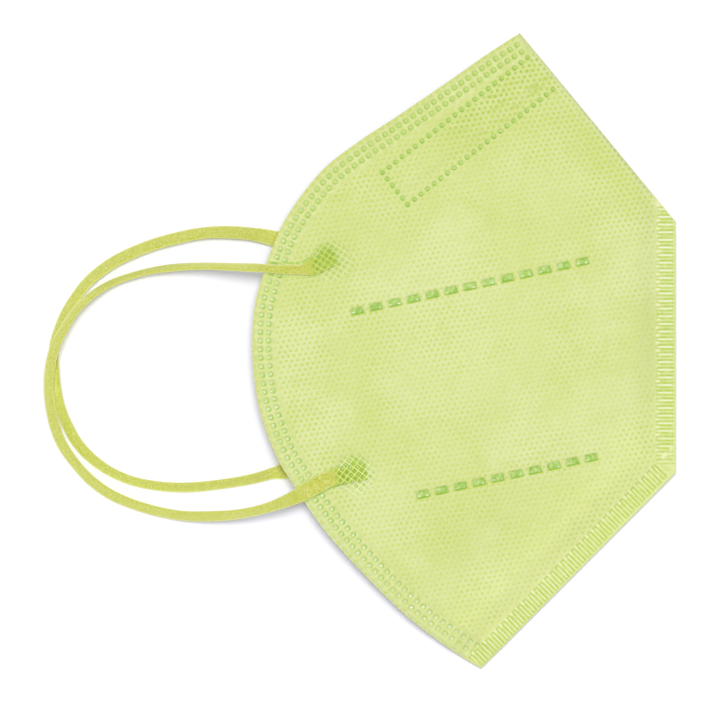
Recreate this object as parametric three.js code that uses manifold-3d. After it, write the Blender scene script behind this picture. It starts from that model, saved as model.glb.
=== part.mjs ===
// Flat-fold disposable respirator, lying on its left panel.
// Millimetres, +Z up. The nose points to +Y, the front seam to +X and the open face edge to -X.
// Origin: middle of the mask body's footprint, on the surface that it lies on.

import * as THREE from "three";
import { mergeVertices } from "three/addons/utils/BufferGeometryUtils.js";
import Module from "manifold-3d";

const { clamp, degToRad, lerp, smoothstep } = THREE.MathUtils;

// ---- driving dimensions ---------------------------------------------------------------------

// Outline of the folded mask, seen from above.
const NOSE_TIP = [14.1, 80.2];
const FRONT_TOP = [53.45, 32.5];
const FRONT_BOTTOM = [53.45, -30.9];
const CHIN_TIP = [4.3, -80.2];
const FACE_EDGE = [
  CHIN_TIP, [-2.5, -76.0], [-16.0, -65.6], [-33.2, -47.7], [-42.6, -34.6], [-47.6, -26.1],
  [-51.6, -14.8], [-53.3, -3.0], [-53.15, 8.0], [-51.4, 16.9], [-45.8, 31.8], [-36.5, 44.7],
  [-27.2, 52.3], [-17.2, 58.9], [-4.0, 67.9], [5.8, 74.8], NOSE_TIP,
];

// The web and its seams.
const WALL = 1.2;
const FLANGE_WIDTH = 4.6;
const FLANGE_HALF = 0.7;
const FOLD_HALF = 1.9;
const SEAM_HEIGHT = 2.2;
const SEAM_BLEND = 6;
const EDGE_BLUNT = 0.25;

// How the two panels stand apart: the upper one bulges, the lower one lies flat.
const BULGE = 9.5;
const BULGE_LENGTH = 28;
const REST_INSET = 14;
const FACE_LIFT = 3;
const FACE_LIFT_LENGTH = 42;
const FACE_LIFT_SEAM_INSET = 25;

// The hollow between the panels.
const HOLLOW_SEAM_INSET = 2.2;
const HOLLOW_OVERRUN = 12;

// The nose wire and its pocket: distances run along the web, across the nose fold.
const POCKET_END = [-17.45, 40.8];
const WIRE_LENGTH = 88;
const WIRE_WIDTH = 4.6;
const WIRE_THICKNESS = 0.5;
const WIRE_DEPTH = 0.7;
const WIRE_GAP = 0.3;
const POCKET_LENGTH = 94;
const POCKET_WIDTH = 9;
const POCKET_PLY = 0.4;
const MOUTH = 1.5;

// The ear loops: flat elastic strap.
const STRAP_WIDTH = 4.2;
const STRAP_THICKNESS = 1.0;
const STRAP_STEPS = 76;
const STRAP_FLAT = 0.8; // share of the section's width that is full thickness
const STRAP_SHOULDER = 0.5; // share of its thickness left at the two edges
const LIE_GAP = 0.05;

// Each row is a place on the strap's middle line:
// x, y, height of what it lies on, lean of the strap from flat in degrees.
const RIGHT_LOOP = [
  [-32.6, 23.7, 12.6, 0], [-37.2, 21.5, 12.7, 5], [-41.0, 20.4, 12.7, 52], [-46.0, 20.4, 12.8, 58],
  [-51.6, 20.8, 12.7, 65], [-58.6, 21.1, 10.2, 70], [-66.1, 21.3, 6.3, 73], [-73.7, 20.9, 2.8, 71],
  [-80.2, 19.9, 0.8, 75], [-87.7, 17.6, 0.3, 74], [-92.8, 14.8, 2.4, 71], [-97.5, 10.7, 4.3, 68],
  [-100.8, 5.8, 4.8, 66], [-103.3, 0.7, 5.0, 60], [-104.6, -4.9, 4.7, 60], [-104.9, -10.2, 3.6, 64],
  [-104.3, -15.0, 2.0, 60], [-103.3, -19.3, 0.8, 58], [-101.4, -24.0, 0.1, 59], [-97.5, -29.4, 0.0, 61],
  [-93.5, -33.4, 0.0, 59], [-88.2, -36.9, 0.0, 59], [-80.5, -39.8, 0.2, 61], [-71.9, -41.6, 1.6, 61],
  [-64.2, -41.8, 4.6, 58], [-56.7, -41.2, 8.0, 61], [-49.6, -39.6, 10.8, 59], [-43.5, -37.3, 12.0, 40],
  [-37.8, -34.3, 12.6, 0], [-33.0, -32.0, 12.4, 0], [-24.8, -30.4, 12.0, 0],
];
const LEFT_LOOP = [
  [-32.6, 23.6, 0.5, 0], [-37.2, 25.0, 0.8, 0], [-42.4, 26.7, 0.5, 10], [-47.5, 28.2, 0.1, 20],
  [-53.3, 29.4, 0.0, 44], [-59.1, 29.9, 0.0, 47], [-65.0, 29.8, 0.0, 52], [-71.0, 28.8, 0.0, 51],
  [-78.8, 26.7, 0.0, 52], [-86.5, 23.5, 0.0, 53], [-91.6, 20.3, 0.0, 55], [-95.9, 16.4, 0.0, 57],
  [-100.2, 10.3, 0.0, 60], [-102.3, 5.5, 0.0, 60], [-103.6, 0.7, 0.0, 60], [-103.5, -4.9, 0.0, 60],
  [-102.8, -10.2, 0.0, 64], [-101.7, -15.2, 0.0, 60], [-99.7, -19.9, 0.0, 56], [-97.6, -23.4, 0.0, 57],
  [-94.4, -26.9, 0.0, 59], [-89.7, -30.3, 0.0, 63], [-83.7, -32.9, 0.0, 64], [-76.3, -34.3, 0.0, 63],
  [-69.0, -34.5, 0.0, 61], [-61.1, -33.7, 0.0, 62], [-53.9, -32.5, 0.0, 60], [-48.3, -31.0, 0.0, 52],
  [-45.2, -30.4, 0.0, 20], [-41.5, -30.1, 0.5, 8], [-34.5, -30.3, 0.9, 0], [-25.6, -31.2, 0.5, 0],
];

// How finely the solids are divided.
const OUTER_ROW_SPACING = 4;
const OUTER_COLUMNS = 18;
const HOLLOW_ROW_SPACING = 5;
const HOLLOW_COLUMNS = 14;
const COLUMN_CROWDING = 1.6;
const WEB_STRIP_STEPS = 40;
const WEB_STRIP_CROWDING = 1.5;
const MERGE_TOLERANCE = 1e-5;

// ---- materials ------------------------------------------------------------------------------

const FABRIC_LIME = new THREE.MeshStandardMaterial({ color: 0xdbe599, roughness: 0.85, metalness: 0 });
const WIRE_COATED = new THREE.MeshStandardMaterial({ color: 0xf0f1ea, roughness: 0.45, metalness: 0 });
const STRAP_LIME = new THREE.MeshStandardMaterial({ color: 0xd3d968, roughness: 0.9, metalness: 0 });

// ---- the outline ----------------------------------------------------------------------------

// A straight side of the outline, from one corner to the next, with the mask on its left.
class Side {
  constructor(from, to) {
    this.from = from;
    const length = Math.hypot(to[0] - from[0], to[1] - from[1]);
    this.inward = [-(to[1] - from[1]) / length, (to[0] - from[0]) / length];
  }

  inset(x, y) {
    return (x - this.from[0]) * this.inward[0] + (y - this.from[1]) * this.inward[1];
  }

  // The x at height y of the line that lies the given distance inside this side.
  xAt(y, inset) {
    return this.from[0] + (inset - (y - this.from[1]) * this.inward[1]) / this.inward[0];
  }
}

const CHIN = new Side(CHIN_TIP, FRONT_BOTTOM);
const FRONT = new Side(FRONT_BOTTOM, FRONT_TOP);
const FOLD = new Side(FRONT_TOP, NOSE_TIP);

const faceCurve = new THREE.CatmullRomCurve3(
  FACE_EDGE.map(([x, y]) => new THREE.Vector3(x, y, 0)), false, "catmullrom", 0.5);

// The face edge's x at height y: the curve climbs steadily, so halving the span finds it.
function faceX(y) {
  const halvings = 40;
  let low = 0;
  let high = 1;
  for (let i = 0; i < halvings; i++) {
    const middle = (low + high) / 2;
    if (faceCurve.getPoint(middle).y < y) low = middle;
    else high = middle;
  }
  return faceCurve.getPoint(low).x;
}

function faceInset(x, y) {
  const step = 0.5;
  const run = (faceX(y + step) - faceX(y - step)) / (2 * step);
  return (x - faceX(y)) / Math.hypot(1, run);
}

function rightX(y, foldInset, seamInset) {
  return Math.min(CHIN.xAt(y, seamInset), FRONT.xAt(y, seamInset), FOLD.xAt(y, foldInset));
}

// ---- heights of the two panels ----------------------------------------------------------------

// How far a place is from the fold and the welded flange, rounded where two of them are as near.
function seamInset(x, y) {
  const sharpness = 3;
  const least = 0.001;
  const insets = [FOLD.inset(x, y), FRONT.inset(x, y) - FLANGE_WIDTH, CHIN.inset(x, y) - FLANGE_WIDTH];
  const sum = insets.reduce((total, inset) => total + Math.max(inset, least) ** -sharpness, 0);
  return sum ** (-1 / sharpness);
}

// Half the web's thickness next to the seams: pressed thin on the flange, a round bend at the fold.
function seamHalf(x, y) {
  const weld = Math.min(FRONT.inset(x, y), CHIN.inset(x, y)) - FLANGE_WIDTH;
  const half = lerp(FLANGE_HALF, FOLD_HALF, smoothstep(weld, 0, SEAM_BLEND));
  const bend = 1 - clamp(FOLD.inset(x, y) / FOLD_HALF, 0, 1);
  return half * Math.max(EDGE_BLUNT, Math.sqrt(1 - bend * bend));
}

function upperOuter(x, y) {
  const rise = 1 - Math.exp(-seamInset(x, y) / BULGE_LENGTH);
  return SEAM_HEIGHT + seamHalf(x, y) + BULGE * rise;
}

function lowerOuter(x, y) {
  const inset = seamInset(x, y);
  const atSeam = (SEAM_HEIGHT - seamHalf(x, y)) * (1 - smoothstep(inset, 0, REST_INSET));
  const atFace = 1 - smoothstep(faceInset(x, y), 0, FACE_LIFT_LENGTH);
  return atSeam + FACE_LIFT * atFace * smoothstep(inset, 0, FACE_LIFT_SEAM_INSET);
}

// ---- solids -----------------------------------------------------------------------------------

// A closed solid between two height functions. Each row of points runs from left(y) to right(y).
function heightSolid(rows, columns, left, right, bottom, top) {
  const positions = [];
  const faces = [];
  const perLayer = rows.length * (columns + 1);
  for (const height of [bottom, top]) {
    for (const y of rows) {
      for (let j = 0; j <= columns; j++) {
        const x = columnX(left(y), right(y), j / columns);
        positions.push(x, y, height(x, y));
      }
    }
  }
  const index = (layer, i, j) => layer * perLayer + i * (columns + 1) + j;
  const quad = (a, b, c, d) => faces.push(a, b, c, a, c, d);
  const last = rows.length - 1;
  for (let i = 0; i < last; i++) {
    for (let j = 0; j < columns; j++) {
      quad(index(0, i, j), index(0, i + 1, j), index(0, i + 1, j + 1), index(0, i, j + 1));
      quad(index(1, i, j), index(1, i, j + 1), index(1, i + 1, j + 1), index(1, i + 1, j));
    }
    quad(index(0, i, 0), index(1, i, 0), index(1, i + 1, 0), index(0, i + 1, 0));
    quad(index(0, i, columns), index(0, i + 1, columns), index(1, i + 1, columns), index(1, i, columns));
  }
  for (let j = 0; j < columns; j++) {
    quad(index(0, 0, j), index(0, 0, j + 1), index(1, 0, j + 1), index(1, 0, j));
    quad(index(0, last, j), index(1, last, j), index(1, last, j + 1), index(0, last, j + 1));
  }
  const geometry = new THREE.BufferGeometry();
  geometry.setAttribute("position", new THREE.Float32BufferAttribute(positions, 3));
  geometry.setIndex(faces);
  return geometry;
}

// Columns stand closer together towards the seams, where the section changes most.
function columnX(left, right, fraction) {
  return left + (right - left) * (1 - (1 - fraction) ** COLUMN_CROWDING);
}

// Heights of the rows from the chin to the nose tip, with one at each front corner.
function outlineRows(spacing) {
  const stops = [CHIN_TIP[1], FRONT_BOTTOM[1], FRONT_TOP[1], NOSE_TIP[1]];
  const rows = [stops[0]];
  for (let k = 1; k < stops.length; k++) {
    const count = Math.round((stops[k] - stops[k - 1]) / spacing);
    for (let i = 1; i <= count; i++) rows.push(lerp(stops[k - 1], stops[k], i / count));
  }
  return rows;
}

const wasm = await Module();
wasm.setup();

function toSolid(geometry) {
  const bare = geometry.clone();
  bare.deleteAttribute("normal");
  bare.deleteAttribute("uv");
  const merged = mergeVertices(bare, MERGE_TOLERANCE);
  const corners = merged.index.array;
  const faces = [];
  for (let i = 0; i < corners.length; i += 3) {
    const [a, b, c] = corners.slice(i, i + 3);
    if (a !== b && b !== c && c !== a) faces.push(a, b, c);
  }
  return new wasm.Manifold(new wasm.Mesh({
    numProp: 3,
    vertProperties: merged.attributes.position.array,
    triVerts: new Uint32Array(faces),
  }));
}

function toGeometry(solid) {
  const mesh = solid.getMesh();
  const geometry = new THREE.BufferGeometry();
  geometry.setAttribute("position", new THREE.BufferAttribute(new Float32Array(mesh.vertProperties), 3));
  geometry.setIndex(new THREE.BufferAttribute(new Uint32Array(mesh.triVerts), 1));
  return geometry;
}

// ---- nose pocket ------------------------------------------------------------------------------

// The pocket runs square across the fold, through this place on it.
const pocketToFold = FOLD.inset(...POCKET_END);
const POCKET_MOUTH = [
  POCKET_END[0] - FOLD.inward[0] * pocketToFold,
  POCKET_END[1] - FOLD.inward[1] * pocketToFold,
];

// A place in the web: distance along it from the fold (upper panel positive), distance to the side
// and depth under the outer face. It follows the upper panel, goes round the fold and follows the lower.
function webPoint(along, aside, depth) {
  const place = (inset) => [
    POCKET_MOUTH[0] + FOLD.inward[0] * inset - FOLD.inward[1] * aside,
    POCKET_MOUTH[1] + FOLD.inward[1] * inset + FOLD.inward[0] * aside,
  ];
  const arc = FOLD_HALF * Math.PI / 2;
  if (Math.abs(along) >= arc) {
    const [x, y] = place(FOLD_HALF + Math.abs(along) - arc);
    const z = along > 0 ? upperOuter(x, y) - depth : lowerOuter(x, y) + depth;
    return [x, y, z];
  }
  const [x0, y0] = place(FOLD_HALF);
  const high = upperOuter(x0, y0);
  const low = lowerOuter(x0, y0);
  const turn = along / FOLD_HALF;
  const radius = (high - low) / 2 - depth;
  const [x, y] = place(FOLD_HALF - radius * Math.cos(turn));
  return [x, y, (high + low) / 2 + radius * Math.sin(turn)];
}

// A flat strip in the web, from one depth to another.
function webStrip(length, width, shallow, deep) {
  const geometry = new THREE.BoxGeometry(length, width, 1, WEB_STRIP_STEPS, 1, 1);
  const position = geometry.attributes.position;
  for (let i = 0; i < position.count; i++) {
    // Steps stand closer together round the fold.
    const fraction = 2 * position.getX(i) / length;
    const along = Math.sign(fraction) * Math.abs(fraction) ** WEB_STRIP_CROWDING * length / 2;
    const depth = lerp(deep, shallow, position.getZ(i) + 0.5);
    position.setXYZ(i, ...webPoint(along, position.getY(i), depth));
  }
  return geometry;
}

function maskBody() {
  const outer = toSolid(heightSolid(
    outlineRows(OUTER_ROW_SPACING), OUTER_COLUMNS,
    faceX, (y) => rightX(y, 0, 0), lowerOuter, upperOuter));
  const hollow = toSolid(heightSolid(
    outlineRows(HOLLOW_ROW_SPACING), HOLLOW_COLUMNS, (y) => faceX(y) - HOLLOW_OVERRUN,
    (y) => rightX(y, WALL, FLANGE_WIDTH + HOLLOW_SEAM_INSET),
    (x, y) => lowerOuter(x, y) + WALL, (x, y) => upperOuter(x, y) - WALL));
  const channelTop = WIRE_DEPTH - WIRE_GAP;
  const channelFloor = WIRE_DEPTH + WIRE_THICKNESS + WIRE_GAP;
  const pocket = toSolid(webStrip(POCKET_LENGTH, POCKET_WIDTH, WALL / 2, channelFloor + POCKET_PLY));
  const channel = toSolid(webStrip(
    POCKET_LENGTH + 2 * MOUTH, WIRE_WIDTH + 2 * WIRE_GAP, channelTop, channelFloor));
  return toGeometry(outer.subtract(hollow).add(pocket).subtract(channel));
}

function noseWire() {
  const geometry = webStrip(WIRE_LENGTH, WIRE_WIDTH, WIRE_DEPTH, WIRE_DEPTH + WIRE_THICKNESS);
  return toGeometry(toSolid(geometry));
}

// ---- ear loops --------------------------------------------------------------------------------

// The strap's middle line. Its frames lean the flat section over by the angle that each row gives.
class StrapPath extends THREE.CatmullRomCurve3 {
  constructor(rows) {
    super(rows.map(([x, y, base, lean]) => {
      const angle = degToRad(lean);
      const halfHeight = (STRAP_WIDTH * Math.sin(angle) + STRAP_THICKNESS * Math.cos(angle)) / 2;
      return new THREE.Vector3(x, y, base + LIE_GAP + halfHeight);
    }));
    this.leans = rows.map((row) => degToRad(row[3]));
  }

  leanAt(fraction) {
    const place = this.getUtoTmapping(fraction) * (this.leans.length - 1);
    const before = Math.min(Math.floor(place), this.leans.length - 2);
    return lerp(this.leans[before], this.leans[before + 1], place - before);
  }

  computeFrenetFrames(segments) {
    const frames = { tangents: [], normals: [], binormals: [] };
    for (let i = 0; i <= segments; i++) {
      const tangent = this.getTangentAt(i / segments);
      const level = new THREE.Vector3(-tangent.y, tangent.x, 0).normalize();
      const normal = new THREE.Vector3().crossVectors(tangent, level);
      normal.applyAxisAngle(tangent, this.leanAt(i / segments));
      frames.tangents.push(tangent);
      frames.normals.push(normal);
      frames.binormals.push(new THREE.Vector3().crossVectors(tangent, normal));
    }
    return frames;
  }
}

function earLoop(rows) {
  const thick = STRAP_THICKNESS / 2;
  const wide = STRAP_WIDTH / 2;
  const edge = thick * STRAP_SHOULDER;
  const flat = wide * STRAP_FLAT;
  const section = new THREE.Shape([
    [thick, -flat], [thick, flat], [edge, wide], [-edge, wide],
    [-thick, flat], [-thick, -flat], [-edge, -wide], [edge, -wide],
  ].map(([x, y]) => new THREE.Vector2(x, y)));
  return new THREE.ExtrudeGeometry(section, {
    steps: STRAP_STEPS, bevelEnabled: false, extrudePath: new StrapPath(rows),
  });
}

// ---- the assembly -----------------------------------------------------------------------------

function piece(name, geometry, material) {
  const mesh = new THREE.Mesh(geometry, material);
  mesh.name = name;
  return mesh;
}

const respirator = new THREE.Group();
respirator.add(
  piece("mask_body", maskBody(), FABRIC_LIME),
  piece("nose_wire", noseWire(), WIRE_COATED),
  piece("ear_loop_right", earLoop(RIGHT_LOOP), STRAP_LIME),
  piece("ear_loop_left", earLoop(LEFT_LOOP), STRAP_LIME),
);

export default respirator;
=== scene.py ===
# Flat-fold disposable respirator, lying on its left panel, seen from straight above.
# Lengths are in millimetres up to the last step of each mesh, which turns them into metres.
# +Y is the nose, +X the front seam and -X the open face edge.
import math
from functools import reduce

import bmesh
import bpy
import numpy as np
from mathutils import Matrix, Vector


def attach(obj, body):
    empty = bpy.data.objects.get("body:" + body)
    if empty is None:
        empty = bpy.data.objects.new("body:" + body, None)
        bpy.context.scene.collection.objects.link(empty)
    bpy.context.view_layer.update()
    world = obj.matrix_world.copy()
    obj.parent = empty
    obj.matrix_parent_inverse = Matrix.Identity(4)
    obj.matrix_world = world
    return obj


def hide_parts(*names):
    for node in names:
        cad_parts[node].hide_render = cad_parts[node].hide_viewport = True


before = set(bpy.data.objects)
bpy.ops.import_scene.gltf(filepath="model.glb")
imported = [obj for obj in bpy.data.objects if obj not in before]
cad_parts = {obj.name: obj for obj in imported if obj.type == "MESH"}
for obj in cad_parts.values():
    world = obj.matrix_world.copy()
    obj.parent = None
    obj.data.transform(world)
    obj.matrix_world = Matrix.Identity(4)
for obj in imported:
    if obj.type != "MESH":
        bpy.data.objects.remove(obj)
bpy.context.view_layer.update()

MM = 0.001

# ---- the mask's outline and section, as in the CAD part ----

NOSE_TIP = (14.1, 80.2)
FRONT_TOP = (53.45, 32.5)
FRONT_BOTTOM = (53.45, -30.9)
CHIN_TIP = (4.3, -80.2)
FACE_EDGE = (
    CHIN_TIP, (-2.5, -76.0), (-16.0, -65.6), (-33.2, -47.7), (-42.6, -34.6), (-47.6, -26.1),
    (-51.6, -14.8), (-53.3, -3.0), (-53.15, 8.0), (-51.4, 16.9), (-45.8, 31.8), (-36.5, 44.7),
    (-27.2, 52.3), (-17.2, 58.9), (-4.0, 67.9), (5.8, 74.8), NOSE_TIP,
)
WALL = 1.2
FLANGE_WIDTH = 4.6
FLANGE_HALF = 0.7
FOLD_HALF = 1.9
SEAM_HEIGHT = 2.2
SEAM_BLEND = 6
EDGE_BLUNT = 0.25
BULGE = 9.5
BULGE_LENGTH = 28
REST_INSET = 14
FACE_LIFT = 3
FACE_LIFT_LENGTH = 42
FACE_LIFT_SEAM_INSET = 25
HOLLOW_SEAM_INSET = 2.2
HOLLOW_OVERRUN = 12

# The nose wire's pocket: distances run along the web, across the nose fold.
POCKET_END = (-17.45, 40.8)
WIRE_WIDTH = 4.6
WIRE_THICKNESS = 0.5
WIRE_DEPTH = 0.7
WIRE_GAP = 0.3
POCKET_LENGTH = 94
POCKET_WIDTH = 9
POCKET_PLY = 0.4
MOUTH = 1.5

# ---- weld marks ----

# Rows of square dots along the face edge. Each row here is a height y, how far inside the edge the
# line between the two whole rows of dots lies there, and how far the dots are shifted along it.
WELD_LINE = (
    (-80, 3.45, -0.5), (-70, 3.45, -0.62), (-55, 3.65, -0.8), (-45, 3.75, -1.03), (-36, 3.6, -1.2),
    (-28, 3.4, -1.3), (-20, 3.25, -1.27), (-7, 3.2, -1.3), (9, 3.0, -1.4), (20, 3.0, -1.45),
    (32, 3.1, -1.65), (38.6, 3.2, -1.42), (45, 3.3, -1.2), (52, 3.3, -0.96), (59, 3.25, -1.08),
    (68, 3.2, -1.35), (80, 3.2, -1.55),
)
DOT_PITCH = 2.15
DOT_ROW_GAP = 2.08
DOT_HALF = 0.6
POCKET_DOT_HALF = 0.54
DOT_SQUARENESS = 3
DOT_DEPTH = 0.28
DOTS_END_AT_CHIN = (3.3, 3.9)
DOTS_END_AT_FOLD = (1.0, 1.5)

# Dots round the nose pocket: two long rows and one short row across its end.
POCKET_MARK_END = (-17.45, 40.85)
POCKET_MARK_ANGLE = 38.4
POCKET_MARK_LENGTH = 46.9
POCKET_MARK_HALF = 5.15
POCKET_DOT_PITCH = 2.13
POCKET_CROSS_PITCH = 2.06
POCKET_CROSS_COUNT = 6

# Bars across the welded seams: place of the first bar along the seam, pitch, count, where each bar
# ends inside the outline at the seam's two ends, half width of its pale core, the places along the
# seam between which the cores come in, how far the green lies from a bar's middle, and how clearly
# the bars' ends and the threads between the bars show.
FRONT_BARS = dict(
    first=2.91, pitch=1.93, count=34, outer=(0.6, 0.6), inner=(4.75, 4.55), core=0.17,
    cores_from=(-6, 22), green=0.52, ends=0.0, threads=0.5,
)
CHIN_BARS = dict(
    first=0.33, pitch=1.956, count=35, outer=(0.25, 1.05), inner=(4.05, 5.25), core=0.07,
    cores_from=(48, 30), green=0.47, ends=0.45, threads=0.3,
)
BAR_HALF = 0.5
BAR_DEPTH = 0.26

# Rows of dashes across the panel: middle of the first dash, middle of the last one, count.
DASH_ROWS = (
    dict(start=(-27.0, 10.05), end=(29.8, 22.45), count=13),
    dict(start=(-10.4, -36.2), end=(32.05, -27.0), count=10),
)
DASH_HALF_LENGTH = 1.5
DASH_HALF_WIDTH = 0.87
DASH_SQUARENESS = 7
DASH_DEPTH = 0.4

# Hatched spots that weld the ear loops on: middle, radius, turn of the hatching in degrees, middle
# of the green cast, how green the strap has melted, how clearly the ridges show and how strong the
# painted highlights in the cells are.
SPOTS = (
    dict(
        place=(-33.5, 22.3), radius=4.9, turn=-33, cast=(-35.0, 24.1),
        melt=0.45, ridges=0.5, shine=0.05,
    ),
    dict(
        place=(-27.6, -31.3), radius=5.1, turn=-36.5, cast=(-27.4, -29.2),
        melt=0.95, ridges=0.95, shine=0.85,
    ),
)
HATCH_PITCH = 1.34
HATCH_RIDGE = (0.2, 0.03)
SPOT_WALL = 1.4
SPOT_DEPTH = 0.3
HATCH_DEPTH = 0.22

# Dimples over the whole fabric: a honeycomb of rows.
DIMPLE_ROW_PITCH = 1.275
DIMPLE_ROW_ANGLE = 8.3

# ---- ear loops: routes of the flat straps, as in the CAD part ----

STRAP_WIDTH = 4.2
STRAP_THICKNESS = 1.0
# The straps' ends are pressed thin in their welds.
PRESSED_THICKNESS = 0.42
PRESSED_LENGTH = 5.5
PRESS_BLEND = 4.5
# Air between a strap and what it lies on: along its route, where it has settled on the upper panel,
# and in the welds underneath.
LIE_GAP = 0.05
PRESS_LIE = 0.04
HIDDEN_LIE = 0.14
# How much of its lean a strap keeps where it lies on the upper panel, and how much of its seen
# width it keeps there on the way to its first weld and to its last one.
LEAN_KEPT = 0.12
LYING_WIDTH = (0.86, 1.0)
FLARE = (10.5, 5)
# The knit, and the painted highlight along the strap's two edges.
WALE_PITCH = 0.6
COURSE_PITCH = 0.52
KNIT_RELIEF = 0.045
RIM_HIGHLIGHT_REACH = (0.325, 0.1)
RIM_HIGHLIGHT_SHOWN = 0.65
# Each row is a place on the strap's middle line:
# x, y, height of what it lies on, lean of the strap from flat in degrees.
RIGHT_LOOP = (
    (-32.6, 23.7, 12.6, 0), (-37.2, 21.5, 12.7, 5), (-41.0, 20.4, 12.7, 52),
    (-46.0, 20.4, 12.8, 58), (-51.6, 20.8, 12.7, 65), (-58.6, 21.1, 10.2, 70),
    (-66.1, 21.3, 6.3, 73), (-73.7, 20.9, 2.8, 71), (-80.2, 19.9, 0.8, 75), (-87.7, 17.6, 0.3, 74),
    (-92.8, 14.8, 2.4, 71), (-97.5, 10.7, 4.3, 68), (-100.8, 5.8, 4.8, 66), (-103.3, 0.7, 5.0, 60),
    (-104.6, -4.9, 4.7, 60), (-104.9, -10.2, 3.6, 64), (-104.3, -15.0, 2.0, 60),
    (-103.3, -19.3, 0.8, 58), (-101.4, -24.0, 0.1, 59), (-97.5, -29.4, 0.0, 61),
    (-93.5, -33.4, 0.0, 59), (-88.2, -36.9, 0.0, 59), (-80.5, -39.8, 0.2, 61),
    (-71.9, -41.6, 1.6, 61), (-64.2, -41.8, 4.6, 58), (-56.7, -41.2, 8.0, 61),
    (-49.6, -39.6, 10.8, 59), (-43.5, -37.3, 12.0, 40), (-37.8, -34.3, 12.6, 0),
    (-33.0, -32.0, 12.4, 0), (-24.8, -30.4, 12.0, 0),
)
LEFT_LOOP = (
    (-32.6, 23.6, 0.5, 0), (-37.2, 25.0, 0.8, 0), (-42.4, 26.7, 0.5, 10), (-47.5, 28.2, 0.1, 20),
    (-53.3, 29.4, 0.0, 44), (-59.1, 29.9, 0.0, 47), (-65.0, 29.8, 0.0, 52), (-71.0, 28.8, 0.0, 51),
    (-78.8, 26.7, 0.0, 52), (-86.5, 23.5, 0.0, 53), (-91.6, 20.3, 0.0, 55), (-95.9, 16.4, 0.0, 57),
    (-100.2, 10.3, 0.0, 60), (-102.3, 5.5, 0.0, 60), (-103.6, 0.7, 0.0, 60),
    (-103.5, -4.9, 0.0, 60), (-102.8, -10.2, 0.0, 64), (-101.7, -15.2, 0.0, 60),
    (-99.7, -19.9, 0.0, 56), (-97.6, -23.4, 0.0, 57), (-94.4, -26.9, 0.0, 59),
    (-89.7, -30.3, 0.0, 63), (-83.7, -32.9, 0.0, 64), (-76.3, -34.3, 0.0, 63),
    (-69.0, -34.5, 0.0, 61), (-61.1, -33.7, 0.0, 62), (-53.9, -32.5, 0.0, 60),
    (-48.3, -31.0, 0.0, 52), (-45.2, -30.4, 0.0, 20), (-41.5, -30.1, 0.5, 8),
    (-34.5, -30.3, 0.9, 0), (-25.6, -31.2, 0.5, 0),
)

# ---- camera ----

VIEW_MIDDLE = (-27.8, -3.0)
VIEW_HEIGHT = 183.1
LENS = 900
SENSOR = 36
CLIP_START = 0.01
CLIP_END = 10


def add_object(name, data):
    obj = bpy.data.objects.new(name, data)
    bpy.context.scene.collection.objects.link(obj)
    return obj


lens = bpy.data.cameras.new("camera")
lens.lens = LENS
lens.sensor_width = SENSOR
lens.clip_start = CLIP_START
lens.clip_end = CLIP_END
camera = add_object("camera", lens)
camera.location = Vector((*VIEW_MIDDLE, SEAM_HEIGHT + VIEW_HEIGHT * LENS / SENSOR)) * MM
bpy.context.scene.camera = camera

# ---- fields: one arithmetic for numpy arrays and for shader sockets ----


def add_node(tree, kind, inputs, **settings):
    """A shader node; each input is a socket, a field or a plain value."""
    node = tree.nodes.new("ShaderNode" + kind)
    for name, value in settings.items():
        setattr(node, name, value)
    for slot, value in inputs.items():
        if isinstance(value, Field):
            value = value.socket
        if isinstance(value, bpy.types.NodeSocket):
            tree.links.new(value, node.inputs[slot])
        else:
            node.inputs[slot].default_value = value
    return node


class Field:
    """A number that varies over a surface. Arithmetic on it adds Math nodes to its material."""

    def __init__(self, tree, socket):
        self.tree = tree
        self.socket = socket

    def math(self, operation, *others):
        node = add_node(self.tree, "Math", dict(enumerate((self, *others))), operation=operation)
        return Field(self.tree, node.outputs[0])

    def __rsub__(self, other):
        return self.math("MULTIPLY_ADD", -1.0, other)

    def __neg__(self):
        return self * -1.0


def operator(operation):
    return lambda field, other: field.math(operation, other)


Field.__add__ = Field.__radd__ = operator("ADD")
Field.__sub__ = operator("SUBTRACT")
Field.__mul__ = Field.__rmul__ = operator("MULTIPLY")
Field.__truediv__ = operator("DIVIDE")
Field.__pow__ = operator("POWER")


def either(operation, for_arrays):
    """One function for fields and for numpy arrays."""

    def function(a, *others):
        return a.math(operation, *others) if isinstance(a, Field) else for_arrays(a, *others)

    return function


floor = either("FLOOR", np.floor)
size_of = either("ABSOLUTE", np.abs)
cosine = either("COSINE", np.cos)
lesser = either("MINIMUM", np.minimum)
greater = either("MAXIMUM", np.maximum)


def ramp(value, start, end):
    """0 up to start and 1 from end on, smooth between them; start may be the greater one."""
    if isinstance(value, Field):
        inputs = {"Value": value, "From Min": start, "From Max": end}
        node = add_node(value.tree, "MapRange", inputs, interpolation_type="SMOOTHSTEP")
        return Field(value.tree, node.outputs["Result"])
    t = np.clip((value - start) / (end - start), 0, 1)
    return t * t * (3 - 2 * t)


def cell_offset(value, pitch):
    """Signed distance to the nearest whole multiple of pitch."""
    return value - floor(value / pitch + 0.5) * pitch


def clamped_offset(value, pitch, last):
    """The same, for the multiples from 0 to last only."""
    cell = lesser(greater(floor(value / pitch + 0.5), 0.0), float(last))
    return value - cell * pitch


def block_distance(u, v, half_u, half_v, power=4):
    """0 in the middle of a block, 1 on its rim; the greater the power, the sharper its corners."""
    return (size_of(u / half_u) ** power + size_of(v / half_v) ** power) ** (1 / power)


def distance_between(u, v, place):
    du = u - place[0]
    dv = v - place[1]
    return (du * du + dv * dv) ** 0.5


def local(x, y, place, angle):
    """x and y measured from a place, along a direction given in degrees and to its left."""
    c = math.cos(math.radians(angle))
    s = math.sin(math.radians(angle))
    dx = x - place[0]
    dy = y - place[1]
    return dx * c + dy * s, dy * c - dx * s


# ---- outline ----

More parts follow.
